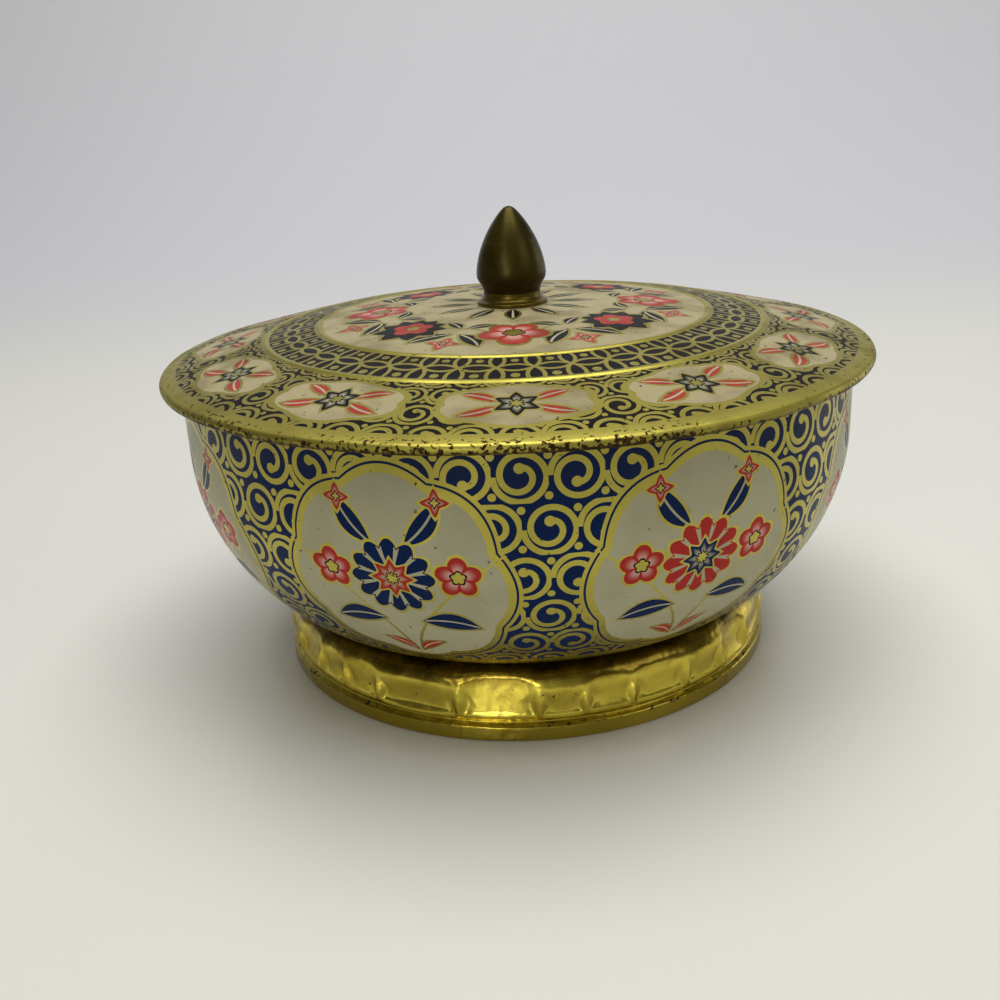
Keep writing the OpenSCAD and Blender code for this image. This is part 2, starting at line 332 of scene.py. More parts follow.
def puckered(radius, height, face, turn, half_turn):
    """Radius of the wall: pressed flat between the creases, each face with its own lean and hollow,
    and a lens-shaped pleat at each crease."""
    above = height - PLEAT_Z
    hollow = HOLLOW * math.exp(-((above / PLEAT_HALF) ** 2))
    pressed = PRESSED * face_share(face, PRESSED_TURN) + hollow * face_share(face, HOLLOW_TURN)
    pressed += LEAN * math.sin(LEAN_TURN * face + LEAN_START) * above
    flat = (PUCKER_R - HALF) * math.cos(half_turn) / math.cos(turn) - pressed * (1 - (turn / half_turn) ** 4)
    proud = radius - flat
    lens = max(0, 1 - (above / PLEAT_HALF) ** 2)
    off = (half_turn - abs(turn)) * PUCKER_R / (PLEAT_W * (PLEAT_TIP + (1 - PLEAT_TIP) * lens))
    pleat = math.exp(-off * off) - VALLEY_DEPTH * math.exp(-((off - VALLEY_OFF) ** 2))
    return radius - (proud + math.hypot(proud, SOFT_EDGE)) / 2 + PLEAT_PROUD * lens * pleat


def make_foot(outside, lining):
    """Foot sheet from the flange out and down to the hem, with creases pressed into its wall."""
    line = rounded([
        (FLANGE_R - FLANGE_W, FOOT_H - HALF, 0),
        (FLANGE_R, FOOT_H - HALF, FLANGE_BEND),
        (PUCKER_R - HALF, PUCKER_Z, SHOULDER_BEND),
        (PUCKER_R - HALF, PUCKER_LOW_Z, PUCKER_BEND),
        (GROOVE_R - HALF, GROOVE_Z, GROOVE_BEND),
        (BAND_R - HALF, BAND_H - HALF, BAND_BEND),
        (BAND_R - HALF, HALF, BAND_BEND),
        (BAND_R - HEM_W, HALF, 0),
    ])
    bm = turned(line[:1] + divided(line[1:], FOOT_ROW), FOOT_AROUND)
    places = faces_round()
    for vert in bm.verts:
        height = vert.co.z / MM
        share = smooth(GROOVE_Z + FADE_LOW, GROOVE_Z + FADE_HIGH, height)
        if share:
            radius = vert.co.xy.length / MM
            step = round(math.atan2(vert.co.y, vert.co.x) / math.tau * FOOT_AROUND) % FOOT_AROUND
            vert.co.xy *= 1 + (puckered(radius, height, *places[step]) / radius - 1) * share
    thicken(finished("foot", bm, "bowl_and_foot", "gold_lacquer", outside, lining))


def dome_z(radius):
    """Height of the middle of the lid's sheet."""
    out = max(radius - FLAT_R, 0) / (DOME_R - FLAT_R)
    height = DOME_EDGE_Z + LID_RISE * (1 - out**DOME_POWER)
    for ring in RINGS:
        across = (radius - ring) / RING_W
        if abs(across) < 0.5:
            height += RING_H * math.cos(math.pi * across) ** 2
    return height


def make_lid(outside, lining):
    """Lid sheet from the screw's hole out to the end of the rolled edge, a little out of true."""
    stops = [FLAT_R]
    for ring in RINGS:
        stops += [ring - RING_W / 2, ring + RING_W / 2]
    stops.append(DOME_R)
    radii = [HOLE_R]
    for start, end, count in zip(stops, stops[1:], LID_ROWS):
        radii += steps(start, end, count)
    line = [Vector((r, dome_z(r))) for r in radii]
    line += arc(LID_ROLL_C, LID_ROLL_R, 90 - EDGE_SLOPE, 90 - EDGE_SLOPE - LID_TURN, BEND_STEP)
    bm = turned(line, SHEET_AROUND)
    for vert in bm.verts:
        angle = math.atan2(vert.co.y, vert.co.x)
        wave = sum(height * math.sin(waves * angle + start) for height, waves, start in LID_WAVES)
        share = (vert.co.xy.length / MM / LID_R) ** LID_WAVE_POWER
        vert.co.z += wave * share * MM
    thicken(finished("lid", bm, "lid", "printed_tin_lid", outside, lining))


def make_bud(finish):
    """Turned bud with its bore: a swelling neck, then a full curve up to a rounded tip."""
    line = [Vector((0, BORE_Z)), Vector((HOLE_R, BORE_Z)), Vector((HOLE_R, NECK_Z))]
    for height in steps(NECK_Z, BUD_WIDE_Z, NECK_ROWS):
        swell = math.sin(math.pi / 2 * (height - NECK_Z) / (BUD_WIDE_Z - NECK_Z)) ** 2
        line.append(Vector((NECK_R + (BUD_R - NECK_R) * swell, height)))
    for turn in steps(0, math.pi / 2, BUD_ROWS):
        up = math.sin(turn)
        fullness = BUD_FULLNESS - TIP_ROUNDING * up**TIP_POWER
        radius = BUD_R * (1 - up**BUD_POWER) ** fullness
        line.append(Vector((radius, BUD_WIDE_Z + (TIP_Z - BUD_WIDE_Z) * up)))
    line.append(Vector((0, TIP_Z)))
    finished("knob_bud", turned(line, KNOB_AROUND), "lid", "aged_brass", finish)


def make_collar(finish):
    """Turned collar: a rounded flange on the lid and a cove up to the bud's neck."""
    line = rounded([
        (HOLE_R, LID_TOP_Z, 0),
        (COLLAR_R, LID_TOP_Z, COLLAR_LOW_BEND),
        (COLLAR_R, LID_TOP_Z + COLLAR_FLANGE, COLLAR_TOP_BEND),
        (NECK_R, LID_TOP_Z + COLLAR_FLANGE + COVE_RISE, COVE_BEND),
        (NECK_R, NECK_Z, 0),
        (HOLE_R, NECK_Z, 0),
    ])
    finished("knob_collar", turned(line, KNOB_AROUND, closed=True), "lid", "collar_brass", finish)


# Shader fields

class Field:
    """A value over a surface. Arithmetic on it adds Math nodes to its tree."""

    def __init__(self, tree, socket):
        self.tree = tree
        self.socket = socket

    def calc(self, operation, *others):
        """The result of a Math node on this field and other values."""
        node = self.tree.nodes.new("ShaderNodeMath")
        node.operation = operation
        for entry, value in zip(node.inputs, (self, *others)):
            feed(entry, value)
        return Field(self.tree, node.outputs[0])

    def __add__(self, other):
        return self.calc("ADD", other)

    def __sub__(self, other):
        return self.calc("SUBTRACT", other)

    def __mul__(self, other):
        return self.calc("MULTIPLY", other)

    def __truediv__(self, other):
        return self.calc("DIVIDE", other)

    def __abs__(self):
        return self.calc("ABSOLUTE")

    def less_from(self, value):
        """A value less this one."""
        return (self * -1) + value

    def below(self, limit):
        """A mask: 1 below a limit, 0 elsewhere."""
        return self.calc("LESS_THAN", limit)

    def above(self, limit):
        """A mask: 1 above a limit, 0 elsewhere."""
        return self.calc("GREATER_THAN", limit)

    def near(self, value, margin):
        """A mask: 1 within a margin of a value, 0 elsewhere."""
        return self.calc("COMPARE", value, margin)

    def either(self, other):
        """A mask of this one and another together."""
        return self.calc("MAXIMUM", other)

    def outside(self, mask):
        """This mask where another one isn't."""
        return self * mask.less_from(1)

    def wrapped(self, pitch):
        """The distance from the middle of a cell in a row of equal cells."""
        return self.calc("WRAP", pitch / 2, -pitch / 2)

    def alternate(self, pitch):
        """0 and 1 by turns, along a row of equal cells."""
        return (self / pitch).calc("ROUND").calc("PINGPONG", 1.0)

    def ramp(self, low, high):
        """A smooth climb from 0 at low to 1 at high."""
        node = self.tree.nodes.new("ShaderNodeMapRange")
        node.interpolation_type = "SMOOTHSTEP"
        feed(node.inputs["Value"], self)
        node.inputs["From Min"].default_value = low
        node.inputs["From Max"].default_value = high
        return Field(self.tree, node.outputs["Result"])


def feed(entry, value):
    """Links a field to a socket, or sets the socket to a number."""
    if isinstance(value, Field):
        value.tree.links.new(value.socket, entry)
    else:
        entry.default_value = value


def length(x, y):
    """Length of a flat vector of two fields."""
    return (x * x + y * y).calc("SQRT")


def place_mm(tree):
    """Object coordinates of a point of the surface, in millimetres."""
    parts = tree.nodes.new("ShaderNodeSeparateXYZ")
    tree.links.new(tree.nodes.new("ShaderNodeTexCoord").outputs["Object"], parts.inputs[0])
    return [Field(tree, socket) / MM for socket in parts.outputs]


def noise(tree, size, detail=2.0, stretch=(1, 1, 1)):
    """Noise whose lumps are about a given size in millimetres."""
    mapping = tree.nodes.new("ShaderNodeMapping")
    tree.links.new(tree.nodes.new("ShaderNodeTexCoord").outputs["Object"], mapping.inputs["Vector"])
    mapping.inputs["Scale"].default_value = [1 / (size * MM * share) for share in stretch]
    texture = tree.nodes.new("ShaderNodeTexNoise")
    tree.links.new(mapping.outputs["Vector"], texture.inputs["Vector"])
    texture.inputs["Scale"].default_value = 1.0
    texture.inputs["Detail"].default_value = detail
    return Field(tree, texture.outputs["Fac"])


# Node groups

def new_group(name, inputs, outputs):
    """An empty node group of number sockets: its tree, its input fields and its output node."""
    tree = bpy.data.node_groups.new(name, "ShaderNodeTree")
    for entry in inputs:
        tree.interface.new_socket(entry, in_out="INPUT", socket_type="NodeSocketFloat")
    for result in outputs:
        tree.interface.new_socket(result, in_out="OUTPUT", socket_type="NodeSocketFloat")
    source = tree.nodes.new("NodeGroupInput")
    return tree, [Field(tree, source.outputs[entry]) for entry in inputs], tree.nodes.new("NodeGroupOutput")


def placed(tree, group, *values):
    """A group placed in a tree with its own values: its output fields."""
    node = tree.nodes.new("ShaderNodeGroup")
    node.node_tree = group
    for entry, value in zip(node.inputs, values):
        feed(entry, value)
    return [Field(tree, socket) for socket in node.outputs]


def curl_group():
    """Rows of a running scroll: a wavy stem, and in each bend a curl that ends in a ball.
    A bend is one unit across."""
    stem_r = 0.47
    winding = 0.25
    tree, (x, y, line), out = new_group("curls", ["X", "Y", "Line"], ["Mask"])
    row = y.calc("ROUND")
    shifted = x + row.calc("PINGPONG", 1.0) * 0.5
    column = shifted.calc("ROUND")
    across = shifted - column
    # Every other bend is turned over
    up = (y - row) * (column.calc("PINGPONG", 1.0) * -2 + 1)
    reach = length(across, up)
    wound = (up.calc("ARCTAN2", across) / -math.tau).calc("FRACT")
    stem = reach.near(stem_r, line) * up.above(0.0)
    first_turn = (reach + wound * winding).near(stem_r, line)
    second_turn = (reach + wound * winding).near(stem_r - winding, line) * wound.below(0.2)
    ball = length(across, up + 0.15).below(0.1)
    bead = length(abs(across) - 0.5, abs(up) - 0.37).below(0.075)
    feed(out.inputs["Mask"], stem.either(first_turn).either(second_turn).either(ball).either(bead))
    return tree


def rosette_group():
    """Petals round a point. Reach is 0 in the middle and 1 on the outline, Between is 1 between petals."""
    names = ["X", "Y", "At X", "At Y", "Radius", "Petals", "Depth", "Point"]
    tree, fields, out = new_group("rosette", names, ["Reach", "Between"])
    x, y, at_x, at_y, radius, petals, depth, point = fields
    dx = x - at_x
    dy = y - at_y
    half_turn = dx.calc("ARCTAN2", dy) * petals * 0.5
    between = abs(half_turn.calc("SINE"))
    blunt = abs(half_turn.calc("COSINE"))
    sharp = between.less_from(1)
    petal = blunt + (sharp - blunt) * point
    outline = radius * (petal.less_from(1) * depth).less_from(1)
    feed(out.inputs["Reach"], length(dx, dy) / outline)
    feed(out.inputs["Between"], between)
    return tree


def leaf_group():
    """A bent leaf from a point. Edge is its distance inside or outside the outline, Across from its rib."""
    names = ["X", "Y", "At X", "At Y", "Turn", "Length", "Width", "Bend"]
    tree, fields, out = new_group("leaf", names, ["Edge", "Across"])
    x, y, at_x, at_y, turn, long, width, bow = fields
    dx = x - at_x
    dy = y - at_y
    cosine = turn.calc("COSINE")
    sine = turn.calc("SINE")
    along = (dx * cosine + dy * sine) / long
    lens = along * along.less_from(1) * 4
    across = dy * cosine - dx * sine - bow * lens
    feed(out.inputs["Edge"], abs(across) - lens * width * 0.5)
    feed(out.inputs["Across"], abs(across))
    return tree


def age_group():
    """Marks of age: worn specks, patches of grime and a fine grain."""
    tree, (amount,), out = new_group("age", ["Amount"], ["Specks", "Grime", "Grain"])
    specks = noise(tree, size=1.6, detail=4) + amount * 0.1
    grime = noise(tree, size=14, detail=5) + amount * 0.05
    feed(out.inputs["Specks"], specks.ramp(0.70, 0.74))
    feed(out.inputs["Grime"], grime.ramp(0.45, 0.72))
    feed(out.inputs["Grain"], noise(tree, size=0.5, detail=2))
    return tree


CURLS = curl_group()
ROSETTE = rosette_group()
LEAF = leaf_group()
AGE = age_group()


# Colours

def srgb(red, green, blue):
    """A colour given as it looks on screen, from 0 to 255."""
    shares = [value / 255 for value in (red, green, blue)]
    return [s / 12.92 if s < 0.04045 else ((s + 0.055) / 1.055) ** 2.4 for s in shares] + [1.0]


# Inks of the print
GOLD = srgb(182, 170, 76)
COBALT = srgb(0, 31, 76)
NAVY = srgb(14, 12, 18)
CREAM = srgb(180, 175, 142)
RED = srgb(176, 46, 38)
PINK = srgb(222, 170, 156)
LID_CREAM = srgb(174, 162, 122)
LID_RED = srgb(170, 62, 50)

# Wear, grime and painted shade
SOOT = srgb(34, 24, 12)
# Grime in patches, and painted shade under the lid's edge on the bowl
GRIME_AND_SHADE = srgb(46, 38, 16)
# Painted reflection of the shaded bowl in the lower half of the lid's rolled edge
ROLL_DARK_REFLECTION = srgb(66, 52, 10)
RUST = srgb(74, 56, 18)

# Metals: clean and tarnished where there are two
FOOT_GOLD = (srgb(228, 206, 80), srgb(154, 128, 28))
BAND_GOLD = srgb(142, 122, 36)
# Painted shade and reflection of the bowl's underside on the foot's shoulder
SHOULDER_SHADE = srgb(118, 92, 24)
SHOULDER_DEEP_SHADE = srgb(36, 24, 4)
LINING_GOLD = (srgb(206, 178, 96), srgb(120, 90, 30))
BUD_OLIVE = (srgb(76, 68, 22), srgb(34, 24, 4))
BUD_PATCH = srgb(66, 56, 8)
BUD_NECK = srgb(40, 22, 2)
BUD_SCRATCH = srgb(112, 104, 60)
COLLAR_BRASS = (srgb(112, 94, 22), srgb(44, 32, 8))
RIVET_GOLD = srgb(200, 172, 90)
SCREW_STEEL = srgb(176, 174, 168)
WASHER_STEEL = srgb(168, 168, 164)

# Stage
FLOOR_PALE = srgb(229, 228, 219)
# Painted shade on the floor in front of the tin
FLOOR_FRONT_SHADE = srgb(170, 169, 162)
WALL_PALE = srgb(220, 220, 223)
SKY_PALE = srgb(196, 196, 200)


# Materials

def new_material(name, **values):
    """A material with its Principled shader. Plain values go on the shader's own sockets."""
    material = bpy.data.materials.new(name)
    material.use_nodes = True
    shader = material.node_tree.nodes["Principled BSDF"]
    for entry, value in values.items():
        shader.inputs[entry.replace("_", " ")].default_value = value
    return material, material.node_tree, shader


def mixed(tree, factor, low, high):
    """A colour socket that goes from one colour to another."""
    node = tree.nodes.new("ShaderNodeMix")
    node.data_type = "RGBA"
    feed(node.inputs["Factor"], factor)
    # The node has sockets for every type of data, and these are the colours
    for entry, colour in zip((node.inputs[6], node.inputs[7]), (low, high)):
        if isinstance(colour, bpy.types.NodeSocket):
            tree.links.new(colour, entry)
        else:
            entry.default_value = colour
    return node.outputs[2]


def bumped(tree, shader, height, distance):
    """Turns a field into a bump on the shader's normal, its full height given in millimetres."""
    bump = tree.nodes.new("ShaderNodeBump")
    bump.inputs["Distance"].default_value = distance * MM
    feed(bump.inputs["Height"], height)
    tree.links.new(bump.outputs["Normal"], shader.inputs["Normal"])


class Inks:
    """Inks printed one over another: the colour so far and where the gold shows."""

    def __init__(self, tree, ground, gold):
        self.tree = tree
        self.colour = ground
        self.gold = gold

    def lay(self, mask, colour):
        """Prints an ink where a mask is, over gold too."""
        self.colour = mixed(self.tree, mask, self.colour, colour)
        self.gold = self.gold.outside(mask)

    def gild(self, mask):
        """Prints gold where a mask is."""
        self.colour = mixed(self.tree, mask, self.colour, GOLD)
        self.gold = self.gold.either(mask)


def rosette(tree, x, y, at, radius, petals, depth, point=0.0):
    """Reach and Between of petals round a place, as the rosette group gives them."""
    return placed(tree, ROSETTE, x, y, *at, radius, petals, depth, point)


def blossom(inks, x, y, at, radius, petals, colour, point=0.0, depth=0.3, eye=0.3):
    """A flower with a gold outline, petals that pale towards the middle and a gold eye."""
    reach, between = rosette(inks.tree, x, y, at, radius, petals, depth, point)
    shade = mixed(inks.tree, reach.ramp(0.3, 0.85), PINK if colour in (RED, LID_RED) else CREAM, colour)
    inks.gild(reach.below(1 + 0.9 / radius))
    inks.lay(reach.below(1.0), colour)
    inks.lay(reach.below(0.9) * between.below(0.93), shade)
    inks.lay(reach.below(eye + 0.5 / radius), NAVY)
    inks.gild(reach.below(eye))


def leaf(inks, x, y, at, turn, size, colour, bow=0.0):
    """A leaf with a gold outline and a pale rib."""
    edge, across = placed(inks.tree, LEAF, x, y, *at, math.radians(turn), *size, bow)
    inks.gild(edge.below(0.7))
    inks.lay(edge.below(0.0), colour)
    inks.lay(edge.below(-0.3) * across.below(0.28), CREAM)


def aged(inks, shader, amount, roughness):
    """Adds grime and specks to the print and feeds the shader."""
    tree = inks.tree
    specks, grime, grain = placed(tree, AGE, amount)
    colour = mixed(tree, grime * amount + grain * 0.06, inks.colour, GRIME_AND_SHADE)
    colour = mixed(tree, specks * 0.8, colour, SOOT)
    tree.links.new(colour, shader.inputs["Base Color"])
    feed(shader.inputs["Metallic"], inks.gold.outside(specks))
    feed(shader.inputs["Roughness"], grain * 0.16 + grime * 0.12 + roughness)


# Bowl print: heights are taken along the sheet, from the upright wall's lower edge
MEDALLIONS = 8
MEDALLION_TURN = math.radians(26.2)
MEDALLION_Z = -17
MEDALLION_HALF_W = 28.5
MEDALLION_HALF_H = 31.5
MEDALLION_CURLS = 6
FLOWER_Z = -13
STEM_LOW_Z = -44
STEM_TOP_Z = -6
STEM_BEND = 0.018
LOW_LINE_Z = -49.6
RIM_LINE_W = 3.2
NARROWING = 0.105
STEEPEST_DIP = -0.95


def printed_bowl():
    """Bowl print: scalloped cream medallions with flowers on a cobalt ground of gold curls."""
    material, tree, shader = new_material(
        "printed_bowl", Coat_Weight=0.04, Coat_Roughness=0.12, Specular_IOR_Level=0.05
    )
    px, py, pz = place_mm(tree)
    # Distances along the sheet, kept in proportion round the narrowing side
    around = (py.calc("ARCTAN2", px) + math.pi / 2 - MEDALLION_TURN) * BOWL_R
    dip = ((pz - WALL_Z) / SIDE_R).calc("MINIMUM", 0.0).calc("MAXIMUM", STEEPEST_DIP).calc("ARCSINE")
    up = (dip + dip * dip * dip * NARROWING) * SIDE_R + (pz - WALL_Z).calc("MAXIMUM", 0.0)
    pitch = math.tau * BOWL_R / MEDALLIONS
    x = around.wrapped(pitch)
    mirrored = abs(x)
    odd = around.alternate(pitch)

    inks = Inks(tree, COBALT, gold=x * 0)
    curl = pitch / MEDALLION_CURLS
    inks.gild(placed(tree, CURLS, around / curl, up / curl, 0.058)[0])
    # The medallion is a lobed oval with a thin and a broad gold line round it
    oval_x = x / MEDALLION_HALF_W
    oval_y = (up - MEDALLION_Z) / MEDALLION_HALF_H
    reach = rosette(tree, oval_x, oval_y, at=(0, 0), radius=1.0, petals=8, depth=0.07)[0]
    for outer, inner, fill in ((1.075, 1.04, COBALT), (1.02, 0.955, CREAM)):
        inks.gild(reach.below(outer))
        inks.lay(reach.below(inner), fill)

    # Stems
    rise = up - STEM_LOW_Z
    stem = (mirrored - rise * rise * STEM_BEND).near(1.0, 0.45)
    inks.gild(stem * up.below(STEM_TOP_Z) * up.above(STEM_LOW_Z))
    # Leaves
    leaf(inks, mirrored, up, at=(5, -27), turn=-8, size=(15, 6), colour=COBALT, bow=1.5)
    leaf(inks, mirrored, up, at=(4, -4), turn=52, size=(14, 5), colour=COBALT, bow=-1.0)
    leaf(inks, mirrored, up, at=(0.8, -43), turn=40, size=(10, 3), colour=RED, bow=1.2)
    # Flowers, the large one red and cobalt by turns
    blossom(inks, mirrored, up, at=(16, -12), radius=5.6, petals=5, colour=RED)
    blossom(inks, mirrored, up, at=(12, 6.5), radius=3.4, petals=4, colour=RED, point=1.0, depth=0.5)
    petal_ink = mixed(tree, odd, RED, COBALT)
    heart_ink = mixed(tree, odd, COBALT, RED)
    reach, between = rosette(tree, x, up, at=(0, FLOWER_Z), radius=10.5, petals=12, depth=0.2)
    inks.gild(reach.below(1.08))
    inks.lay(reach.below(1.0), petal_ink)
    inks.lay(reach.below(0.94) * between.above(0.9), CREAM)
    blossom(inks, x, up, at=(0, FLOWER_Z), radius=5.4, petals=8, colour=heart_ink, point=1.0, depth=0.35)
    # Gold lines at the lower and upper edge
    inks.gild(up.below(LOW_LINE_Z))
    inks.gild(pz.above(RIM_Z - RIM_LINE_W))
    # Painted shade under the lid's edge: the wall darkens towards the rim
    inks.colour = mixed(tree, pz.ramp(WALL_Z - 4, RIM_Z - 4) * 0.2, inks.colour, GRIME_AND_SHADE)
    aged(inks, shader, amount=0.1, roughness=0.2)
    return material


# Lid print: the middle radius of each ring of motifs and how many go round it
KNOB_PETALS = (16.0, 12)
GARLAND = (36.0, 8)
LINKS = (sum(RINGS) / 2, 44)
LINK_LINE = 0.055
LINK_DOT = 0.12
CARTOUCHES = (82.4, 12)
CARTOUCHE_HALF_W = 18.0
CARTOUCHE_HALF_H = 9.4
CARTOUCHE_CURLS = 5
BORDER_R = 95.4


def printed_lid():
    """Lid print: a garland round the knob, a ring of linked circles and an outer ring of cartouches."""
    material, tree, shader = new_material("printed_lid", Specular_IOR_Level=0.06)
    px, py, pz = place_mm(tree)
    angle = py.calc("ARCTAN2", px) + math.pi / 2
    radius = length(px, py)
    spread = radius.calc("MAXIMUM", 1.0).calc("LOGARITHM", math.e)

    def zone(middle, count):
        """Coordinates along and across a ring of the lid, with its pitch."""
        return angle * middle, (spread - math.log(middle)) * middle, math.tau * middle / count

    inks = Inks(tree, LID_CREAM, gold=px * 0)
    # Garland round the knob
    along, up, pitch = zone(*GARLAND)
    x = along.wrapped(pitch)
    mirrored = abs(x)
    odd = along.alternate(pitch)
    inks.gild((up - (x * (math.tau / pitch)).calc("COSINE") * 2.5).near(0.0, 0.5))
    leaf(inks, mirrored, up, at=(pitch / 2 - 1, 3), turn=130, size=(10, 4), colour=NAVY, bow=1.0)
    leaf(inks, mirrored, up, at=(pitch / 2 - 1, -2), turn=215, size=(9, 3.6), colour=NAVY, bow=1.0)
    between = mirrored - pitch / 2
    blossom(inks, between, up, at=(0, 9.5), radius=3.4, petals=4, colour=LID_RED, point=1.0, depth=0.5)
    middle = (0, 1.5)
    blossom(inks, x, up, middle, radius=8.6, petals=5, colour=LID_RED)
    # Every other flower is a dark star with a small flower on it
    star = rosette(tree, x, up, middle, radius=9.4, petals=10, depth=0.25, point=0.6)[0]
    inks.gild(star.below(1.08) * odd)
    inks.lay(star.below(1.0) * odd, NAVY)
    flower = rosette(tree, x, up, middle, radius=5.4, petals=5, depth=0.3)[0]
    inks.lay(flower.below(1.0) * odd, LID_RED)
    inks.gild(flower.below(0.34) * odd)
    # Petals under the knob
    along, up, pitch = zone(*KNOB_PETALS)
    leaf(inks, up, along.wrapped(pitch), at=(-6, 0), turn=0, size=(12, 3.4), colour=NAVY)

    # Ring of linked circles
    along, up, pitch = zone(*LINKS)
    band = radius.near(LINKS[0], (RINGS[1] - RINGS[0]) / 2)
    p = abs(along.wrapped(pitch)) / pitch
    q = abs((up + pitch / 2).wrapped(pitch)) / pitch
    circle = math.sqrt(0.5)
    beside = length(p.less_from(1), q).near(circle, LINK_LINE)
    above = length(p, q.less_from(1)).near(circle, LINK_LINE)
    inks.lay(band, NAVY)
    inks.gild(beside.either(above).either(length(p, q).below(LINK_DOT)) * band)

    # Outer ring of cartouches on gold curls
    along, up, pitch = zone(*CARTOUCHES)
    outer = radius.above(RINGS[1])
    x = along.wrapped(pitch)
    mirrored = abs(x)
    curl = pitch / CARTOUCHE_CURLS
    inks.lay(outer, NAVY)
    inks.gild(placed(tree, CURLS, along / curl, up / curl + 0.5, 0.062)[0] * outer)
    oval_x = x / CARTOUCHE_HALF_W
    oval_y = up / CARTOUCHE_HALF_H
    reach = rosette(tree, oval_x, oval_y, at=(0, 0), radius=1.0, petals=6, depth=0.1)[0]
    inks.gild(reach.below(1.1) * outer)
    inks.lay(reach.below(0.98) * outer, LID_CREAM)
    for side in (1, -1):
        at = (4, 1.2 * side)
        leaf(inks, mirrored, up, at, turn=24 * side, size=(9.5, 3.2), colour=LID_RED, bow=0.6 * side)
    blossom(inks, x, up, at=(0, 0), radius=5.6, petals=6, colour=NAVY, point=0.8, depth=0.4)

    # Gold on the raised rings, the border and the rolled edge
    for ring in RINGS:
        inks.gild(radius.near(ring, RING_W / 2))
    inks.gild(radius.above(BORDER_R))
    relief = inks.gold
    # Painted reflection of the shaded bowl below: the rolled edge darkens towards its lower line. It is also
    # worn through to dark metal in specks, mostly along that line
    roll = radius.above(LID_R - LID_ROLL)
    low = pz.less_from(DOME_EDGE_Z).ramp(-0.2, 2.6)
    patchy = noise(tree, size=26, detail=3) * 0.4 - 0.2
    inks.colour = mixed(tree, low.ramp(0.3, 0.95) * roll * 0.75, inks.colour, ROLL_DARK_REFLECTION)
    worn = (noise(tree, size=1.1, detail=8) + low * 0.16 + patchy).ramp(0.60, 0.66) * roll
    inks.lay(worn, mixed(tree, noise(tree, size=0.9, detail=4).ramp(0.4, 0.6), SOOT, RUST))
    aged(inks, shader, amount=0.35, roughness=radius.ramp(BORDER_R + 0.6, BORDER_R + 2.6) * 0.06 + 0.3)
    bumped(tree, shader, relief, 0.12)
    return material


def lacquered(name, colours, roughness, amount):
    """Gold lacquer over tinplate, with specks and a little grime."""
    material, tree, shader = new_material(name, Coat_Weight=0.1, Coat_Roughness=0.2)
    specks, grime, grain = placed(tree, AGE, amount)
    tone = mixed(tree, grime * 0.5 + grain * 0.15, *colours)
    tree.links.new(mixed(tree, specks * 0.7, tone, SOOT), shader.inputs["Base Color"])
    feed(shader.inputs["Metallic"], specks.less_from(1))
    feed(shader.inputs["Roughness"], grain * 0.1 + grime * 0.1 + roughness)
    bumped(tree, shader, noise(tree, size=9), 0.25)
    return material


def gold_foot():
    """Foot lacquer: chipped along the base band, with painted shade on the shoulder under the bowl."""
    material, tree, shader = new_material("gold_foot", Coat_Weight=0.1, Coat_Roughness=0.12)
    height = place_mm(tree)[2]
    _, grime, grain = placed(tree, AGE, 0.0)
    tone = mixed(tree, grime * 0.4 + grain * 0.1, *FOOT_GOLD)
    # The base band is duller, and the shoulder darkens towards the bowl in an uneven line: painted shade and
    # reflection of the bowl's underside
    tone = mixed(tree, height.ramp(GROOVE_Z + 1, BAND_H - 0.4) * 0.7, tone, BAND_GOLD)
    shade = height + noise(tree, size=7, detail=5) * 6 - 3
    tone = mixed(tree, shade.ramp(UPRIGHT_Z + 1.5, PUCKER_Z + 1) * 0.8, tone, SHOULDER_SHADE)
    tone = mixed(tree, shade.ramp(PUCKER_Z, FOOT_H - 3) * 0.95, tone, SHOULDER_DEEP_SHADE)
    # Chips gather on the band's upper edge, in some stretches more than in others
    stretches = noise(tree, size=30) * 0.3 - 0.15
    edge = height.near(BAND_H, 0.6) * 0.1
    chips = (noise(tree, size=1.8, detail=6) + edge + stretches).ramp(0.71, 0.74)
    tree.links.new(mixed(tree, chips, tone, SOOT), shader.inputs["Base Color"])
    feed(shader.inputs["Metallic"], (chips * 0.8).less_from(1))
    feed(shader.inputs["Roughness"], grain * 0.08 + grime * 0.1 + 0.19)
    bumped(tree, shader, noise(tree, size=6), 0.5)
    return material


def patina(tree, shader, colours, amount, roughness):
    """Turned brass under a brown patina, with fine turning lines: its colour so far."""
    specks, grime, grain = placed(tree, AGE, amount)
    lines = noise(tree, size=0.8, stretch=(40, 40, 0.4))
    tone = mixed(tree, grime * 0.6 + lines * 0.5, *colours)
    feed(shader.inputs["Roughness"], lines * 0.2 + grain * 0.1 + roughness)
    bumped(tree, shader, lines, 0.05)
    return mixed(tree, specks * 0.5, tone, SOOT)


def bud_brass():
    """Bud: olive brown in soft patches, one scribed line, browner towards the neck."""
    material, tree, shader = new_material("bud_patina", Metallic=0.6, Specular_IOR_Level=0.2)
    height = place_mm(tree)[2]
    tone = patina(tree, shader, BUD_OLIVE, amount=0.2, roughness=0.18)
    tone = mixed(tree, noise(tree, size=3.5, detail=3).ramp(0.4, 0.62) * 0.6, tone, BUD_PATCH)
    tone = mixed(tree, height.ramp(BUD_WIDE_Z + 2.5, NECK_Z + 2) * 0.75, tone, BUD_NECK)
    line = abs(height - BUD_LINE_Z).ramp(0.5, 0.1) * noise(tree, size=6).ramp(0.45, 0.6)
    tree.links.new(mixed(tree, line * 0.3, tone, BUD_SCRATCH), shader.inputs["Base Color"])
    return material


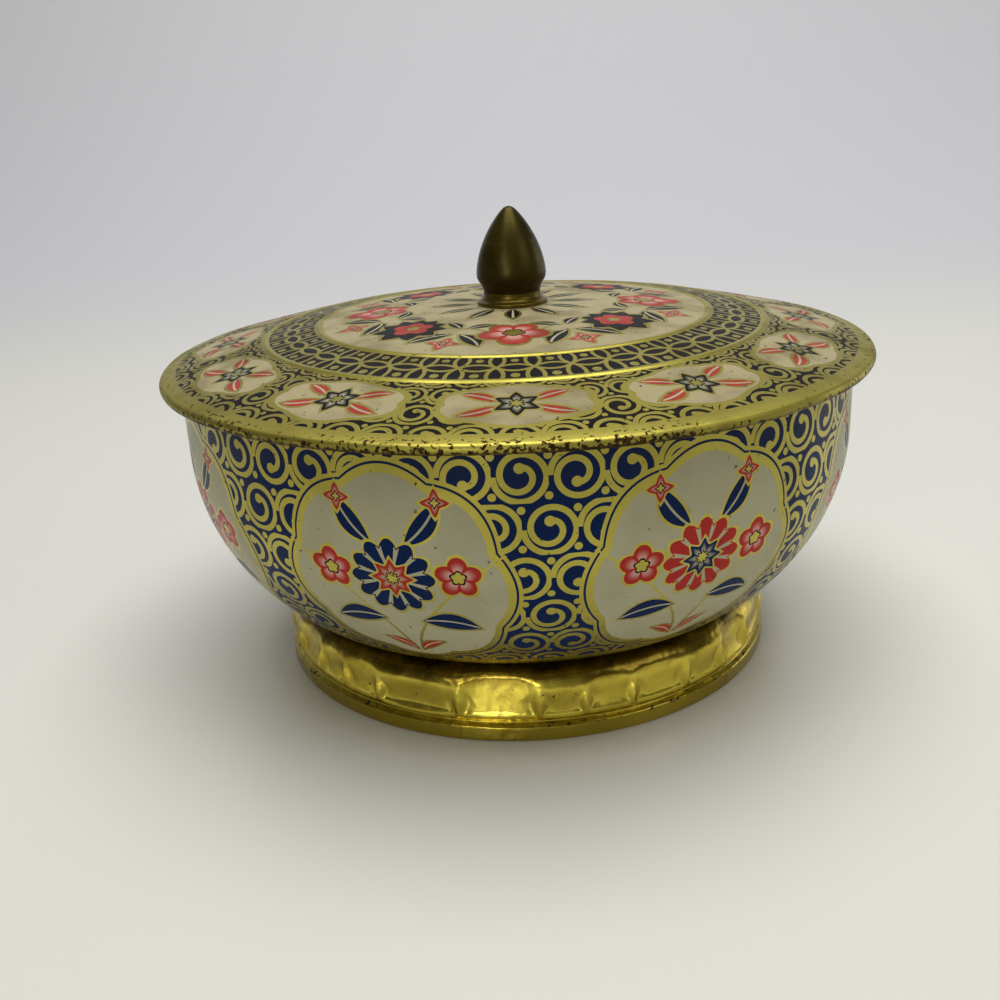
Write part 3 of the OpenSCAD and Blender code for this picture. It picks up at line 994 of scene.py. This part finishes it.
def collar_brass():
    """Collar: brighter brass where it is handled."""
    material, tree, shader = new_material("collar_patina", Metallic=0.75)
    tone = patina(tree, shader, COLLAR_BRASS, amount=0.1, roughness=0.18)
    tree.links.new(tone, shader.inputs["Base Color"])
    return material


def plain_metal(name, colour, roughness):
    """Small hidden hardware: brushed, a little dull."""
    material, tree, shader = new_material(name, Metallic=1.0)
    specks, grime, grain = placed(tree, AGE, 0.3)
    tree.links.new(mixed(tree, grime * 0.5 + specks * 0.3, colour, SOOT), shader.inputs["Base Color"])
    feed(shader.inputs["Roughness"], grain * 0.2 + roughness)
    bumped(tree, shader, grain, 0.03)
    return material


# Pieces

lining = lacquered("lacquered_inside", LINING_GOLD, roughness=0.28, amount=0.3)
make_bowl(printed_bowl(), lining)
make_foot(gold_foot(), lining)
make_lid(printed_lid(), lining)
make_bud(bud_brass())
make_collar(collar_brass())
hardware = {
    "foot_rivets": plain_metal("rivet_gold", RIVET_GOLD, 0.25),
    "knob_screw": plain_metal("screw_steel", SCREW_STEEL, 0.3),
    "screw_washer": plain_metal("washer_steel", WASHER_STEEL, 0.34),
}
for node, finish in hardware.items():
    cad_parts[node].data.materials.clear()
    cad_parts[node].data.materials.append(finish)


# Stage, in metres: the room's width, depth and height, its back wall and the sweep's radius
ROOM = (7.0, 5.0, 3.0)
BACK_WALL = 1.1
SWEEP = 0.6
SWEEP_STEPS = 10

# Camera at the photograph's place, in metres and radians, with its lens in millimetres
CAMERA_AT = (0.00018, -0.3183, 0.15582)
CAMERA_PITCH = 0.3493
CAMERA_YAW = -0.0209
CAMERA_ROLL = -0.0509
CAMERA_LENS = 39.89
CAMERA_SENSOR = 36

# What the lamps face, in metres
TIN = (0, 0, 0.05)
FRONT_WALL = (0, -4.0, 0.9)
SKY_STRENGTH = 0.2


def pale_floor():
    """Pale floor and walls: a little shine round the tin, dull further off, with painted shade on the floor
    in front of the tin.
    """
    material, tree, shader = new_material("pale_floor")
    depth = place_mm(tree)[1]
    far = depth.ramp(350, 700)
    front = depth.ramp(-220, -600)
    # Painted shade on the floor in front of the tin, which dims its reflection in the tin
    colour = mixed(tree, front, FLOOR_PALE, FLOOR_FRONT_SHADE)
    tree.links.new(mixed(tree, far, colour, WALL_PALE), shader.inputs["Base Color"])
    feed(shader.inputs["Roughness"], far * 0.3 + front * 0.6 + 0.3)
    return material


def make_stage():
    """Pale room without a ceiling, its floor swept up into the walls."""
    bm = bmesh.new()
    bmesh.ops.create_cube(bm, size=1.0)
    bmesh.ops.translate(bm, verts=bm.verts, vec=(0, -0.5, 0.5))
    bmesh.ops.scale(bm, verts=bm.verts, vec=ROOM)
    bmesh.ops.translate(bm, verts=bm.verts, vec=(0, BACK_WALL, 0))
    ceiling = max(bm.faces, key=lambda face: face.calc_center_median().z)
    bmesh.ops.delete(bm, geom=[ceiling], context="FACES_ONLY")
    corners = [edge for edge in bm.edges if not edge.is_boundary]
    bmesh.ops.bevel(
        bm, geom=corners, offset=SWEEP, segments=SWEEP_STEPS, profile=0.5, affect="EDGES", material=-1
    )
    bmesh.ops.reverse_faces(bm, faces=bm.faces)
    mesh = bpy.data.meshes.new("floor")
    bm.to_mesh(mesh)
    bm.free()
    mesh.shade_smooth()
    mesh.materials.append(pale_floor())
    floor = bpy.data.objects.new("floor", mesh)
    bpy.context.scene.collection.objects.link(floor)


def make_camera():
    """Camera close to the tin, a little above the lid."""
    across = math.cos(CAMERA_PITCH)
    way = Vector((math.sin(CAMERA_YAW) * across, math.cos(CAMERA_YAW) * across, -math.sin(CAMERA_PITCH)))
    right = Vector((math.cos(CAMERA_YAW), -math.sin(CAMERA_YAW), 0))
    up = right.cross(way)
    turned_right = math.cos(CAMERA_ROLL) * right + math.sin(CAMERA_ROLL) * up
    turned_up = math.cos(CAMERA_ROLL) * up - math.sin(CAMERA_ROLL) * right
    data = bpy.data.cameras.new("camera")
    data.sensor_width = CAMERA_SENSOR
    data.lens = CAMERA_LENS
    data.clip_start = 0.01
    camera = bpy.data.objects.new("camera", data)
    axes = Matrix((turned_right, turned_up, -way)).transposed().to_4x4()
    camera.matrix_world = Matrix.Translation(CAMERA_AT) @ axes
    bpy.context.scene.collection.objects.link(camera)
    bpy.context.scene.camera = camera


def area_light(name, place, size, power, target=TIN):
    """A soft square lamp: its place and size in metres, its power in watts and what it faces."""
    lamp = bpy.data.lights.new(name, "AREA")
    lamp.size = size
    lamp.energy = power
    light = bpy.data.objects.new(name, lamp)
    light.location = place
    aim = Vector(target) - Vector(place)
    light.rotation_euler = aim.to_track_quat("-Z", "Y").to_euler()
    bpy.context.scene.collection.objects.link(light)


def make_world():
    """Pale, weak light from the open top of the room."""
    world = bpy.data.worlds.new("room")
    world.use_nodes = True
    sky = world.node_tree.nodes["Background"]
    sky.inputs["Color"].default_value = SKY_PALE
    sky.inputs["Strength"].default_value = SKY_STRENGTH
    bpy.context.scene.world = world


make_stage()
make_camera()
area_light("overhead", (0.05, 0.0, 1.3), 1.1, 15.6)
area_light("left_window", (-0.6, -1.3, 0.75), 0.24, 1.2)
area_light("low_window", (-0.4, -1.35, 0.32), 0.22, 1.6)
area_light("right_window", (0.9, -0.6, 0.7), 0.6, 1.3)
area_light("side_window", (1.2, 0.5, 0.3), 0.5, 1.1)
area_light("front_wall", (0, -2.0, 1.9), 1.4, 30, FRONT_WALL)
make_world()
bpy.context.scene.view_settings.view_transform = "Standard"
